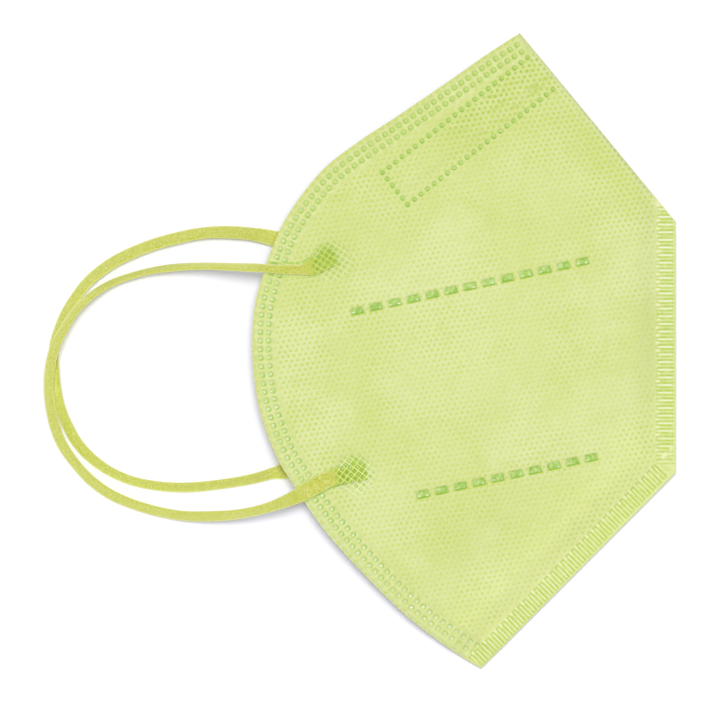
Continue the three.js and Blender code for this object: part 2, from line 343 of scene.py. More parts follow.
CURVE = np.array([[0, 2, 0, 0], [-1, 0, 1, 0], [2, -5, 4, -1], [-1, 3, -3, 1]]) / 2


def catmull_rom(points, steps):
    """The curve through the points, as in the CAD part, with steps places to each span."""
    p = np.array(points, float)
    p = np.vstack([2 * p[0] - p[1], p, 2 * p[-1] - p[-2]])
    powers = np.linspace(0, 1, steps, endpoint=False)[:, None] ** np.arange(4)
    spans = [powers @ CURVE @ p[first : first + 4] for first in range(len(p) - 3)]
    return np.vstack([*spans, p[-2:-1]])


def arc_lengths(line):
    return np.concatenate([[0], np.cumsum(np.linalg.norm(np.diff(line, axis=0), axis=1))])


class Side:
    """A straight side of the outline, with the mask on its left."""

    def __init__(self, start, end):
        self.start = start
        self.end = end
        self.length = math.dist(start, end)
        self.angle = math.degrees(math.atan2(end[1] - start[1], end[0] - start[0]))
        self.inward = (-(end[1] - start[1]) / self.length, (end[0] - start[0]) / self.length)

    def inset(self, x, y):
        return (x - self.start[0]) * self.inward[0] + (y - self.start[1]) * self.inward[1]

    def x_at(self, y, inset):
        return self.start[0] + (inset - (y - self.start[1]) * self.inward[1]) / self.inward[0]


CHIN = Side(CHIN_TIP, FRONT_BOTTOM)
FRONT = Side(FRONT_BOTTOM, FRONT_TOP)
FOLD = Side(FRONT_TOP, NOSE_TIP)
WELDED = ((FRONT, FRONT_BARS), (CHIN, CHIN_BARS))
OUTLINE_STEPS = 60

face_line = catmull_rom(FACE_EDGE, OUTLINE_STEPS)


def face_x(y):
    return np.interp(y, face_line[:, 1], face_line[:, 0])


def face_inset(x, y):
    step = 0.5
    run = (face_x(y + step) - face_x(y - step)) / (2 * step)
    return (x - face_x(y)) / np.hypot(1, run)


def right_x(y, fold_inset, weld_inset):
    welded = np.minimum(CHIN.x_at(y, weld_inset), FRONT.x_at(y, weld_inset))
    return np.minimum(welded, FOLD.x_at(y, fold_inset))


def from_welds(x, y):
    """How far places are inside the outline's two welded sides."""
    return lesser(FRONT.inset(x, y), CHIN.inset(x, y))


# ---- heights of the two panels ----

LEAST_INSET = 0.001
INSET_SHARPNESS = 3.0


def seam_inset(x, y):
    """How far places are inside the three seams, smooth where two of them are equally near."""
    insets = (FOLD.inset(x, y), FRONT.inset(x, y) - FLANGE_WIDTH, CHIN.inset(x, y) - FLANGE_WIDTH)
    total = sum(np.maximum(inset, LEAST_INSET) ** -INSET_SHARPNESS for inset in insets)
    return total ** (-1 / INSET_SHARPNESS)


def seam_half(x, y):
    bulge = ramp(from_welds(x, y) - FLANGE_WIDTH, 0, SEAM_BLEND)
    half = FLANGE_HALF + (FOLD_HALF - FLANGE_HALF) * bulge
    bend = 1 - np.clip(FOLD.inset(x, y) / FOLD_HALF, 0, 1)
    return half * np.maximum(EDGE_BLUNT, np.sqrt(1 - bend * bend))


def upper_outer(x, y):
    rise = 1 - np.exp(-seam_inset(x, y) / BULGE_LENGTH)
    return SEAM_HEIGHT + seam_half(x, y) + BULGE * rise


def lower_outer(x, y):
    inset = seam_inset(x, y)
    at_seam = (SEAM_HEIGHT - seam_half(x, y)) * (1 - ramp(inset, 0, REST_INSET))
    at_face = 1 - ramp(face_inset(x, y), 0, FACE_LIFT_LENGTH)
    return at_seam + FACE_LIFT * at_face * ramp(inset, 0, FACE_LIFT_SEAM_INSET)


# ---- weld patterns, for meshes and for materials ----


def edge_dot_frame(along, aside):
    """Place within the nearest dot along the face edge; aside is 0 between the two whole rows."""
    row = aside + 1.5 * DOT_ROW_GAP
    return cell_offset(along, DOT_PITCH), clamped_offset(row, DOT_ROW_GAP, 2)


def dots_end(x, y):
    """1 where the dots along the face edge show, 0 past their ends."""
    return ramp(CHIN.inset(x, y), *DOTS_END_AT_CHIN) * ramp(FOLD.inset(x, y), *DOTS_END_AT_FOLD)


def dot_distance(u, v, half=DOT_HALF):
    return block_distance(u, v, half, half, DOT_SQUARENESS)


def pocket_frame(x, y):
    """How far places are along the nose pocket and to the side of its middle."""
    return local(x, y, POCKET_MARK_END, POCKET_MARK_ANGLE)


def pocket_dot_frames(x, y):
    """Place within the nearest dot of the pocket's two long rows, and of its short row."""
    along, aside = pocket_frame(x, y)
    count = round(POCKET_MARK_LENGTH / POCKET_DOT_PITCH)
    across = aside + POCKET_MARK_HALF
    row = clamped_offset(across, 2 * POCKET_MARK_HALF, 1)
    return (
        (clamped_offset(along, POCKET_DOT_PITCH, count), row),
        (along, clamped_offset(across, POCKET_CROSS_PITCH, POCKET_CROSS_COUNT - 1)),
    )


def pocket_dots(x, y):
    """Block distance of the dots round the nose pocket."""
    return lesser(*(dot_distance(u, v, POCKET_DOT_HALF) for u, v in pocket_dot_frames(x, y)))


def seam_bars(x, y, side, bars):
    """Distance across the nearest bar, and how far inside its outer and its inner end."""
    along, inset = local(x, y, side.start, side.angle)
    share = along / side.length
    outer, inner = (share * (end - start) + start for start, end in (bars["outer"], bars["inner"]))
    across = clamped_offset(along - bars["first"], bars["pitch"], bars["count"] - 1)
    return across, inset - outer, inner - inset


def dash_frame(x, y, row):
    """Place within the nearest dash of a row, from -1 to 1 along it and across it."""
    run = (row["end"][0] - row["start"][0], row["end"][1] - row["start"][1])
    pitch = math.hypot(*run) / (row["count"] - 1)
    along, aside = local(x, y, row["start"], math.degrees(math.atan2(run[1], run[0])))
    u = clamped_offset(along, pitch, row["count"] - 1) / DASH_HALF_LENGTH
    return u, aside / DASH_HALF_WIDTH


def dashes(x, y):
    """Block distance of the two rows of dashes."""
    frames = (dash_frame(x, y, row) for row in DASH_ROWS)
    return lesser(*(block_distance(u, v, 1, 1, DASH_SQUARENESS) for u, v in frames))


def spot_distance(x, y, spot):
    """How far places are outside a hatched spot."""
    return distance_between(x, y, spot["place"]) - spot["radius"]


def spot_mask(x, y, spot):
    return ramp(spot_distance(x, y, spot), SPOT_WALL, -SPOT_WALL)


def hatch_ridge(x, y, spot):
    """1 on the ridges between the spot's cells, 0 in the cells."""
    u, v = local(x, y, spot["place"], spot["turn"])
    u, v = (size_of(cell_offset(w, HATCH_PITCH)) for w in (u, v))
    return ramp(lesser(u, v), *HATCH_RIDGE)


def dimple_wave(x, y):
    """1 in the middle of each dimple, falling to -0.5 between them."""
    turns = (DIMPLE_ROW_ANGLE + turn for turn in (90, 150, 210))
    across = [local(x, y, (0, 0), turn)[0] for turn in turns]
    return sum(cosine(way * (2 * math.pi / DIMPLE_ROW_PITCH)) for way in across) / 3


# ---- relief of the outer faces ----

# Swells of the cloth: wave length, direction in degrees, phase.
SWELL_WAVES = ((41, 12, 0.4), (27, 74, 2.1), (19, 131, 4.0), (33, 160, 1.2))
SWELL = 0.3
SWELL_INSETS = (3, 12)
# The band with the dots along the face edge: how deep it lies, how high the cloth stands between
# the dots, and how far each of the two reaches from the band's middle.
BAND_SINK = 0.3
BAND_REACH = (3.0, 1.4)
DOT_CUSHION = 0.12
CUSHION_REACH = (3.0, 2.0)
DOT_SLOPE = (1.4, 0.6)
# The ridge over the nose wire: its height, its sides and its end.
WIRE_RIDGE = 0.4
WIRE_RIDGE_SIDES = (3.2, 1.6)
WIRE_RIDGE_END = (0.5, 3.5)
# The walls of the bars and the dashes, and how much thinner the cloth gets at its rims.
BAR_SLOPE = 0.3
DASH_SLOPE = (1.3, 0.7)
FACE_RIM = 0.45
FACE_RIM_WIDTH = 0.9
SEAM_RIM = 0.25
SEAM_RIM_WIDTH = 0.5

NEAREST_CHUNK = 4000

# The line along the face edge between the two whole rows of dots, with its direction at each place.
weld_y, weld_insets, weld_shifts = np.array(WELD_LINE, float).T
weld_inset = np.interp(face_line[:, 1], weld_y, weld_insets)
weld_shift = np.interp(face_line[:, 1], weld_y, weld_shifts)
face_heading = np.gradient(face_line, axis=0)
face_heading /= np.linalg.norm(face_heading, axis=1)[:, None]
face_inward = np.column_stack([face_heading[:, 1], -face_heading[:, 0]])
weld_line = face_line + face_inward * weld_inset[:, None]
weld_arc = arc_lengths(weld_line)


def nearest_on(line, x, y):
    """For each place: which point of the line is nearest, and the way from there to the place."""
    places = np.column_stack([x, y])
    nearest = [
        ((places[start : start + NEAREST_CHUNK, None] - line[None]) ** 2).sum(-1).argmin(1)
        for start in range(0, len(places), NEAREST_CHUNK)
    ]
    nearest = np.concatenate(nearest)
    return nearest, places - line[nearest]


def edge_frame(x, y):
    """How far places are along the weld line, inside it, and inside the face edge."""
    nearest, step = nearest_on(weld_line, x, y)
    along = weld_arc[nearest] - weld_shift[nearest] + (step * face_heading[nearest]).sum(1)
    aside = (step * face_inward[nearest]).sum(1)
    return along, aside, aside + weld_inset[nearest]


def soft_waves(x, y):
    """Low swells of the cloth, from -1 to 1."""
    waves = [
        np.cos(local(x, y, (0, 0), angle)[0] * 2 * np.pi / length + phase)
        for length, angle, phase in SWELL_WAVES
    ]
    return sum(waves) / len(waves)


def swell(x, y):
    """How far the cloth swells in front of the plain panels."""
    inset = np.minimum(from_welds(x, y), np.minimum(FOLD.inset(x, y), face_inset(x, y)))
    return SWELL * soft_waves(x, y) * ramp(inset, *SWELL_INSETS)


def relief(x, y):
    """How far the outer faces stand in front of the plain panels."""
    along, aside, inset = edge_frame(x, y)
    height = swell(x, y)
    height -= BAND_SINK * ramp(np.abs(aside), *BAND_REACH)
    cushion = np.cos(2 * np.pi * along / DOT_PITCH) + np.cos(2 * np.pi * aside / DOT_ROW_GAP)
    height -= DOT_CUSHION / 2 * cushion * ramp(np.abs(aside), *CUSHION_REACH)
    dots = dot_distance(*edge_dot_frame(along, aside))
    height -= DOT_DEPTH * ramp(dots, *DOT_SLOPE) * dots_end(x, y)
    height -= DOT_DEPTH * ramp(pocket_dots(x, y), *DOT_SLOPE)
    along, aside = pocket_frame(x, y)
    height += WIRE_RIDGE * ramp(np.abs(aside), *WIRE_RIDGE_SIDES) * ramp(along, *WIRE_RIDGE_END)
    for side, bars in WELDED:
        across, from_outer, from_inner = seam_bars(x, y, side, bars)
        inside = lesser(lesser(from_outer, from_inner), BAR_HALF - np.abs(across))
        height -= BAR_DEPTH * ramp(inside, -BAR_SLOPE, BAR_SLOPE)
    height -= DASH_DEPTH * ramp(dashes(x, y), *DASH_SLOPE)
    for spot in SPOTS:
        depth = SPOT_DEPTH + HATCH_DEPTH * (1 - hatch_ridge(x, y, spot))
        height -= spot_mask(x, y, spot) * depth
    height -= FACE_RIM * ramp(inset, FACE_RIM_WIDTH, 0)
    return height - SEAM_RIM * ramp(from_welds(x, y), SEAM_RIM_WIDTH, 0)


def upper_face(x, y):
    return upper_outer(x, y) + relief(x, y)


def lower_face(x, y):
    return np.maximum(lower_outer(x, y) - relief(x, y), 0)


# ---- materials: tools ----

# The studio light, what the floor throws back of it, and how bright it makes a white face that
# faces up.
SKY_STRENGTH = 0.55
SUN_STRENGTH = 2.55
SUN_TILT = 6
SUN_WIDTH = 16
FLOOR_LIGHT = 1.1
LIGHT_LEVEL = 1.35


def dye(red, green, blue):
    """The colour that looks like this sRGB colour under the studio light."""
    linear = [((value / 255 + 0.055) / 1.055) ** 2.4 / LIGHT_LEVEL for value in (red, green, blue)]
    return (*linear, 1)


class Surface:
    """A material in the making: its colour so far, and its places in millimetres as fields."""

    def __init__(self, name, ground, constants):
        self.material = bpy.data.materials.new(name)
        self.material.use_nodes = True
        self.tree = self.material.node_tree
        self.shader = self.tree.nodes["Principled BSDF"]
        for socket, value in constants.items():
            self.shader.inputs[socket].default_value = value
        place = self.add("TexCoord", {}).outputs["Object"]
        in_mm = self.add("VectorMath", {0: place, "Scale": 1 / MM}, operation="SCALE")
        self.place = in_mm.outputs["Vector"]
        self.x, self.y, _ = self.parts(self.place)
        self.color = dye(*ground)

    def add(self, kind, inputs, **settings):
        return add_node(self.tree, kind, inputs, **settings)

    def parts(self, vector):
        node = self.add("SeparateXYZ", {0: vector})
        return [Field(self.tree, socket) for socket in node.outputs]

    def attribute(self, name):
        """The three fields of a vector stored with the mesh."""
        return self.parts(self.add("Attribute", {}, attribute_name=name).outputs["Vector"])

    def noise(self, size, seed, detail=2.0, stretch=1.0, angle=0.0):
        """Random spots about size mm across, stretched along an angle; mostly 0.3 to 0.7."""
        inputs = {
            "Vector": self.place, "Rotation": (0, 0, math.radians(angle)),
            "Scale": (size * stretch, size, size),
        }
        place = self.add("Mapping", inputs, vector_type="TEXTURE").outputs["Vector"]
        inputs = {"Vector": place, "W": seed, "Scale": 1, "Detail": detail}
        node = self.add("TexNoise", inputs, noise_dimensions="4D")
        return Field(self.tree, node.outputs["Fac"])

    def paint(self, color, amount):
        """Lays a colour over what is there, as much as amount says."""
        inputs = {0: amount, 6: self.color, 7: dye(*color)}
        self.color = self.add("Mix", inputs, data_type="RGBA").outputs[2]

    def brighten(self, factor):
        """Makes the colour that many times as bright."""
        node = self.add("VectorMath", {0: self.color, "Scale": factor}, operation="SCALE")
        self.color = node.outputs["Vector"]

    def finish(self, roughness, height):
        """Wires up the colour, the roughness and a bump height in millimetres."""
        normal = self.add("Bump", {"Distance": MM, "Height": height}).outputs["Normal"]
        ends = {"Normal": normal, "Base Color": self.color, "Roughness": roughness.socket}
        for name, socket in ends.items():
            self.tree.links.new(socket, self.shader.inputs[name])
        return self.material


# ---- material: fabric ----

FABRIC = (218, 228, 149)
FABRIC_PALE = (227, 235, 171)
FABRIC_DEEP = (211, 223, 132)
FABRIC_SHADE = (190, 212, 104)
SLOPE_PAINTED_LIGHT = (236, 243, 180)
CHIN_PAINTED_LIGHT = (240, 248, 168)
DIMPLE_GREEN = (196, 217, 84)
POCKET_HOLE = (160, 199, 80)
DIMPLE_HIGHLIGHT = (236, 239, 166)
CUSHION = (232, 238, 176)
MELT_RIM = (176, 211, 98)
MELT_SHADE = (146, 193, 62)
MELT_HIGHLIGHT = (220, 238, 196)
MELT_GREEN = (196, 221, 122)
GLINT = (246, 250, 232)
EDGE_YELLOW = (232, 234, 146)
BAR_GREEN = (188, 213, 86)
BAR_WHITE = (241, 247, 226)
PUCKER = (240, 242, 184)
DASH_GREEN = (178, 211, 101)
DASH_DEEP = (132, 187, 58)
DASH_PALE = (204, 228, 156)
DASH_FOOT = (186, 209, 70)
CELL_GREEN = (169, 204, 72)
RIDGE_LIGHT = (236, 242, 180)
HALO_GREEN = (175, 204, 52)
CONTACT_SHADOW = (160, 207, 80)
DIMPLE_DEPTH = 0.07
FIBRE_DEPTH = 0.025

# Places where the upper panel looks paler: x, y, radius.
PALE_PLACES = ((-2, 4, 28), (36, -20, 22), (-20, -40, 16))
# How far from the fold and the chin the cloth, which slopes down there, is painted paler as painted
# light against its shade, and between which heights y it gets deeper towards the nose.
FOLD_SLOPE = (2.8, 0.3)
CHIN_SLOPE = (24, 5)
NOSE_DEEP = (24, 66)
# Where the dimples come in, away from the weld marks.
PLAIN_FROM_DOTS = (2.2, 3.2)
PLAIN_FROM_WELDS = (4.8, 6.0)
PLAIN_FROM_SPOTS = (-0.8, 0.8)
# The creased cloth in the nose pocket: its sides and start, and the strip with the crispest holes.
POCKET_SIDES = (4.6, 3.8)
POCKET_START = (10, 34)
CRISP_STRIP = ((-1.5, 2.6), (4.8, 3.7))
CRISP_START = (5, 24)
# Heights y between which the dots along the face edge change their look.
NEAR_NOSE = (15, 55)
NEAR_CHIN = (-35, -68)
# Half length and half width of a hatching cell, and how far a hatched spot's green cast reaches.
CELL_HALF = (0.47, 0.4)
HALO_REACH = (3.8, 0.8)
# Where a dash glints, from -1 to 1 along it and across it.
DASH_GLINTS = ((-0.75, -0.35), (0.65, -0.5))
# The yellow edge of front, chin, fold and face edge: its width and how clearly it shows.
YELLOW_EDGES = ((0.36, 0.9), (0.36, 0.5), (0.4, 0.3), (1.0, 0.5))


# In the functions that paint, the two numbers of a ramp say where a colour begins to show and where
# it shows in full, and the factor behind it how strong it gets.


def shaken(field, cloth, size, seed, reach):
    """The field, moved about at random by up to about reach."""
    return field + (cloth.noise(size, seed) - 0.5) * (reach * 4)


def paint_clouds(cloth, fold, chin):
    """Paints the cloth's own tone and painted light on its slopes at the chin and the fold, and
    returns its fibres.
    """
    cloth.paint(FABRIC_PALE, ramp(cloth.noise(20, 1, detail=3), 0.44, 0.66))
    cloth.paint(FABRIC_DEEP, ramp(cloth.noise(16, 2), 0.5, 0.68) * 0.5)
    for x, y, radius in PALE_PLACES:
        far = distance_between(cloth.x, cloth.y, (x, y))
        cloth.paint(FABRIC_PALE, ramp(far, radius, radius * 0.2) * 0.75)
    cloth.paint(FABRIC_DEEP, ramp(cloth.y, *NOSE_DEEP) * 0.55)
    # Painted light: paler where the cloth slopes down to the chin and the fold, against its shade.
    cloth.paint(CHIN_PAINTED_LIGHT, ramp(chin, *CHIN_SLOPE) * 0.6)
    cloth.paint(SLOPE_PAINTED_LIGHT, ramp(fold, *FOLD_SLOPE) * 0.7)
    cloth.paint(FABRIC_DEEP, ramp(cloth.noise(4.5, 3), 0.5, 0.72) * 0.35)
    speckle = cloth.noise(0.55, 25, detail=3)
    cloth.paint(FABRIC_DEEP, ramp(speckle, 0.5, 0.7) * 0.45)
    cloth.paint(FABRIC_PALE, ramp(speckle, 0.48, 0.3) * 0.45)
    fibres = cloth.noise(0.36, 4, stretch=4, angle=30) + cloth.noise(0.36, 5, stretch=4, angle=-50)
    cloth.paint(FABRIC_PALE, ramp(fibres, 1.0, 1.3) * 0.5)
    cloth.paint(FABRIC_DEEP, ramp(fibres, 0.98, 0.72) * 0.45)
    return fibres


def paint_pocket(cloth, in_pocket):
    """Paints the fine creases of the cloth over the nose wire as painted shade and painted light.
    """
    creases = cloth.noise(1.1, 18, detail=3, stretch=9, angle=POCKET_MARK_ANGLE - 22)
    cloth.paint(FABRIC_SHADE, ramp(creases, 0.5, 0.68) * in_pocket * 0.6)
    cloth.paint(FABRIC_PALE, ramp(creases, 0.44, 0.28) * in_pocket * 0.4)


def paint_dimples(cloth, plain, in_pocket, strip, fold):
    """Paints the dimples where the cloth is plain and returns how deep they are, 0 to 1."""
    x = shaken(cloth.x, cloth, 2.6, 6, 0.14)
    y = shaken(cloth.y, cloth, 2.6, 16, 0.14)
    patch = ramp(cloth.noise(12, 7, detail=1), 0.36, 0.62) * 0.33 + 0.52
    patch = patch + ramp(cloth.x, -8, -40) * 0.2
    near_fold = ramp(fold, 30, 2) * ramp(cloth.y, 10, 60)
    strength = plain * lesser(patch + near_fold * 0.3 + in_pocket * 0.6, 1.0)
    # Each dimple's green hole, set off to one side, is partly its own colour and partly painted
    # shade.
    hole = ramp(dimple_wave(x - 0.1, y + 0.1), 0.05, 0.72)
    crisp = ramp(cloth.noise(2.2, 36, stretch=3, angle=POCKET_MARK_ANGLE), 0.4, 0.6)
    cloth.paint(DIMPLE_GREEN, hole * strength * 0.85)
    cloth.paint(POCKET_HOLE, hole * strip * (crisp * 0.4 + 0.2))
    clear = ramp(cloth.noise(3.5, 8), 0.3, 0.56) * (1 - near_fold * 0.7) * (1 - in_pocket)
    # A painted highlight, set off to the other side of each dimple.
    highlight = ramp(dimple_wave(x + 0.06, y - 0.08), 0.5, 0.92)
    cloth.paint(DIMPLE_HIGHLIGHT, highlight * plain * clear * 0.6)
    return hole * strength


def paint_melts(cloth, u, v, distance, rim, highlight, highlight_amount):
    """Paints pits of melted cloth: a green rim, partly the melted cloth's colour and partly painted
    shade of the pit's wall, painted shade on the lower side and a painted highlight near the
    middle.
    u and v are places in the nearest pit, along the edge and inwards."""
    cloth.paint(MELT_RIM, ramp(distance, 1.45, 0.85) * rim * 0.85)
    cloth.paint(highlight, ramp(distance_between(u, v, (0.08, -0.14)), 0.66, 0.1) * highlight_amount)
    cloth.paint(MELT_SHADE, ramp(distance, 1.3, 0.9) * ramp(v - u, 0.0, 0.8) * rim * 0.8)


def paint_edge_dots(cloth, along, aside, shown):
    """Paints the dots along the face edge and returns where the cloth is melted."""
    u, v = edge_dot_frame(along, aside)
    distance = shaken(dot_distance(u, v), cloth, 0.7, 15, 0.16)
    outermost = ramp(aside, -1.9, -2.3)
    near_nose = ramp(cloth.y, *NEAR_NOSE)
    near_chin = ramp(cloth.y, *NEAR_CHIN)
    between = ramp(size_of(aside), 3.4, 2.2) * ramp(distance, 1.15, 1.6)
    cloth.paint(CUSHION, between * ramp(cloth.noise(1.2, 23, detail=3), 0.4, 0.6) * 0.6)
    whole = (1 - outermost) * shown
    varied = ramp(cloth.noise(2.4, 9), 0.36, 0.62) * 0.4 + 0.6
    paint_melts(
        cloth, u, v, distance, (0.75 + near_nose * 0.05 - near_chin * 0.35) * varied * whole,
        MELT_HIGHLIGHT, (0.6 - near_nose * 0.6) * ramp(cloth.noise(0.6, 33), 0.34, 0.56) * whole,
    )
    cloth.paint(MELT_GREEN, ramp(distance, 1.1, 0.5) * near_nose * whole * 0.6)
    # The outermost, half-seen dots: a painted highlight towards the chin, green rims near the nose.
    half_seen = ramp(distance, 1.3, 0.8) * outermost * shown
    cloth.paint(MELT_HIGHLIGHT, half_seen * ramp(cloth.y, -12, -35) * 0.6)
    cloth.paint(MELT_RIM, half_seen * near_nose * 0.4)
    # Painted highlights: small glints in the dots.
    glint_spot = ramp(distance_between(u, v, (0.1, -0.14)), 0.62, 0.3)
    glint_scatter = ramp(cloth.noise(0.36, 27), 0.52, 0.6)
    cloth.paint(GLINT, glint_spot * glint_scatter * varied * whole * (1.0 - near_nose * 0.85))
    return ramp(distance, 1.1, 0.8) * shown


def paint_bars(cloth, side, bars):
    """Paints the bars of a welded seam and returns where the cloth is melted."""
    across, from_outer, from_inner = seam_bars(cloth.x, cloth.y, side, bars)
    reach = size_of(shaken(across, cloth, 2.2, 17, 0.05))
    within = lesser(from_outer, from_inner)
    flange = ramp(within, -0.5, 0.1)
    threads = cloth.noise(0.28, 10, stretch=10, angle=side.angle + 90)
    worn = ramp(cloth.noise(1.4, 20, detail=3), 0.34, 0.58) * 0.5 + 0.5
    cloth.paint(CUSHION, flange * 0.3)
    cloth.paint(BAR_GREEN, ramp(size_of(reach - bars["green"]), 0.42, 0.1) * flange * worn * 0.85)
    between = ramp(threads, 0.5, 0.62) * ramp(reach, 0.6, 0.8)
    cloth.paint(BAR_GREEN, between * flange * bars["threads"])
    ends = ramp(size_of(within), 0.3, 0.08) * ramp(reach, 0.66, 0.5)
    cloth.paint(BAR_GREEN, ends * worn * bars["ends"])
    along = local(cloth.x, cloth.y, side.start, side.angle)[0]
    core = ramp(reach, bars["core"] + 0.1, bars["core"] - 0.08) * ramp(within, 0.1, 0.45)
    cloth.paint(BAR_WHITE, core * ramp(along, *bars["cores_from"]) * worn * 0.8)
    puckers = ramp(size_of(from_inner - 0.1), 0.8, 0.2) * ramp(reach, 0.45, 0.75)
    cloth.paint(PUCKER, puckers * ramp(cloth.noise(1.7, 34), 0.36, 0.54))
    return core * 0.6


def paint_dashes(cloth):
    """Paints the dashes and returns where the cloth is melted, row by row."""
    fluff = (cloth.noise(0.5, 11, detail=3) - 0.5) * 0.6
    streaks = cloth.noise(0.75, 12, detail=3, stretch=1.5, angle=80)
    melted = []
    for row in DASH_ROWS:
        u, v = dash_frame(cloth.x, cloth.y, row)
        distance = block_distance(u, v, 1, 1, DASH_SQUARENESS) + fluff
        inside = ramp(distance, 1.12, 0.94)
        cloth.paint(FABRIC_SHADE, ramp(distance, 1.6, 1.1) * 0.35)
        cloth.paint(DASH_FOOT, ramp(distance, 1.45, 1.1) * ramp(-v, 0.3, 0.9) * 0.8)
        cloth.paint(DASH_GREEN, inside)
        slope = v * 0.5 - u * 0.3
        cloth.paint(DASH_DEEP, inside * ramp(streaks - slope * 0.12, 0.48, 0.64) * 0.6)
        cloth.paint(DASH_DEEP, inside * ramp(-v, 0.5, 0.95) * 0.7)
        cloth.paint(DASH_PALE, inside * ramp(streaks - slope * 0.16, 0.47, 0.34) * 0.9)
        corner = lesser(*(distance_between(u, v, place) for place in DASH_GLINTS))
        glint = ramp(corner, 0.4, 0.1) * ramp(cloth.noise(1.2, 13), 0.44, 0.6)
        cloth.paint(GLINT, inside * glint * 0.75)
        melted.append(inside)
    return melted


def paint_spot(cloth, spot, cell, ridge, present=1.0, melt=0.0):
    """Paints a hatched weld where it is present and returns where it is, 0 to 1."""
    x = shaken(cloth.x, cloth, 1.1, 24, 0.1)
    y = shaken(cloth.y, cloth, 1.1, 26, 0.1)
    far = shaken(spot_distance(cloth.x, cloth.y, spot), cloth, 1.8, 14, 0.35)
    mask = ramp(far, 0.5, -0.7) * present
    halo = distance_between(cloth.x, cloth.y, spot["cast"])
    cloth.paint(STRAP_MELTED, mask * melt)
    cloth.paint(HALO_GREEN, ramp(shaken(halo, cloth, 1.6, 35, 0.3), *HALO_REACH) * present * 0.9)
    u, v = local(x, y, spot["place"], spot["turn"])
    u, v = (cell_offset(w + HATCH_PITCH / 2, HATCH_PITCH) for w in (u, v))
    oval = block_distance(u, v, *CELL_HALF, 2.6)
    varied = ramp(cloth.noise(2.6, 21), 0.36, 0.6) * 0.25
    towards_strap = ramp(halo, 9.5, 1.5) * 0.6
    cloth.paint(cell, mask * ramp(oval, 1.3, 0.7) * (towards_strap + varied + 0.15))
    cloth.paint(ridge, mask * hatch_ridge(x, y, spot) * (varied + 0.75) * spot["ridges"])
    # Painted highlights: small glints in the cells.
    glint = ramp(distance_between(u, v, (0, 0.06)), 0.27, 0.09)
    glint_scatter = ramp(cloth.noise(1.6, 22), 0.44, 0.6)
    cloth.paint(GLINT, glint * glint_scatter * mask * spot["shine"])
    return mask


def fabric_material():
    cloth = Surface("fabric", FABRIC, {
        "Specular IOR Level": 0.25, "Sheen Weight": 0.1, "Sheen Roughness": 0.5,
    })
    x, y = cloth.x, cloth.y
    along, aside, inset = cloth.attribute("face_edge")
    front, chin, fold = (side.inset(x, y) for side in (FRONT, CHIN, FOLD))
    pocket_along, pocket_aside = pocket_frame(x, y)
    in_pocket = ramp(size_of(pocket_aside), *POCKET_SIDES) * ramp(pocket_along, *POCKET_START)
    fibres = paint_clouds(cloth, fold, chin)
    cloth.paint(FABRIC_DEEP, ramp(size_of(aside), 3.4, 2.4) * 0.4)
    paint_pocket(cloth, in_pocket)
    plain = ramp(size_of(aside), *PLAIN_FROM_DOTS) * ramp(lesser(front, chin), *PLAIN_FROM_WELDS)
    for spot in SPOTS:
        plain = plain * ramp(spot_distance(x, y, spot), *PLAIN_FROM_SPOTS)
    strip = ramp(pocket_along, *CRISP_START)
    for reach in CRISP_STRIP:
        strip = strip * ramp(pocket_aside, *reach)
    dimples = paint_dimples(cloth, plain, in_pocket, strip, fold)
    melts = [paint_edge_dots(cloth, along, aside, dots_end(x, y))]
    for u, v in pocket_dot_frames(x, y):
        distance = dot_distance(u, v, POCKET_DOT_HALF)
        # Green rims, painted shade on the lower side, a painted highlight and small painted glints.
        paint_melts(cloth, u, -v, distance, 1.0, MELT_GREEN, 0.35)
        glint_spot = ramp(distance, 0.9, 0.4) * ramp(cloth.noise(0.42, 28), 0.54, 0.64)
        cloth.paint(GLINT, glint_spot * ramp(pocket_aside, 0, -4) * 0.5)
        melts.append(ramp(distance, 1.1, 0.8))
    melts += [paint_bars(cloth, side, bars) for side, bars in WELDED]
    melts += paint_dashes(cloth)
    melts += [paint_spot(cloth, spot, CELL_GREEN, RIDGE_LIGHT) * 0.5 for spot in SPOTS]
    # Painted contact shadow: a green line along the rim of the strap that lies on the panel.
    strap_gap, strap_side, _ = cloth.attribute("strap_gap")
    contact_shadow = ramp(size_of(shaken(strap_gap, cloth, 0.8, 29, 0.1) - 0.18), 0.36, 0.08) * strap_side
    cloth.paint(CONTACT_SHADOW, contact_shadow * (ramp(cloth.noise(1.0, 32), 0.38, 0.58) * 0.65 + 0.3))
    for edge, (width, amount) in zip((front, chin, fold, inset), YELLOW_EDGES):
        cloth.paint(EDGE_YELLOW, ramp(edge, width, width * 0.3) * amount)
    height = dimples * -DIMPLE_DEPTH + fibres * FIBRE_DEPTH
    return cloth.finish(0.82 - reduce(greater, melts) * 0.3, height)


# ---- material: lining, the white inner layer ----

LINING = (240, 243, 236)
LINING_SHADE = (226, 232, 218)


def lining_material():
    layer = Surface("lining", LINING, {"Specular IOR Level": 0.25, "Sheen Weight": 0.1})
    fibres = layer.noise(0.5, 20, stretch=6, angle=15) + layer.noise(0.5, 21, stretch=6, angle=-65)
    layer.paint(LINING_SHADE, ramp(fibres, 1.05, 0.75))
    return layer.finish(0.85 - fibres * 0.05, fibres * 0.04)


# ---- material: strap ----

STRAP = (210, 215, 97)
STRAP_DARK = (186, 195, 58)
STRAP_LIGHT = (236, 239, 170)
STRAP_RIM_HIGHLIGHT = (236, 237, 160)
STRAP_PRESSED = (192, 207, 80)
STRAP_MELTED = (168, 199, 48)
STRAP_CELL = (135, 176, 18)
STRAP_RIDGE = (238, 239, 146)


def knit_wave(across, run):
    """The loops of the knit, from -1 to 1."""
    wale = cosine(across * (2 * math.pi / WALE_PITCH))
    return wale * 0.6 + wale * cosine(run * (2 * math.pi / COURSE_PITCH)) * 0.4


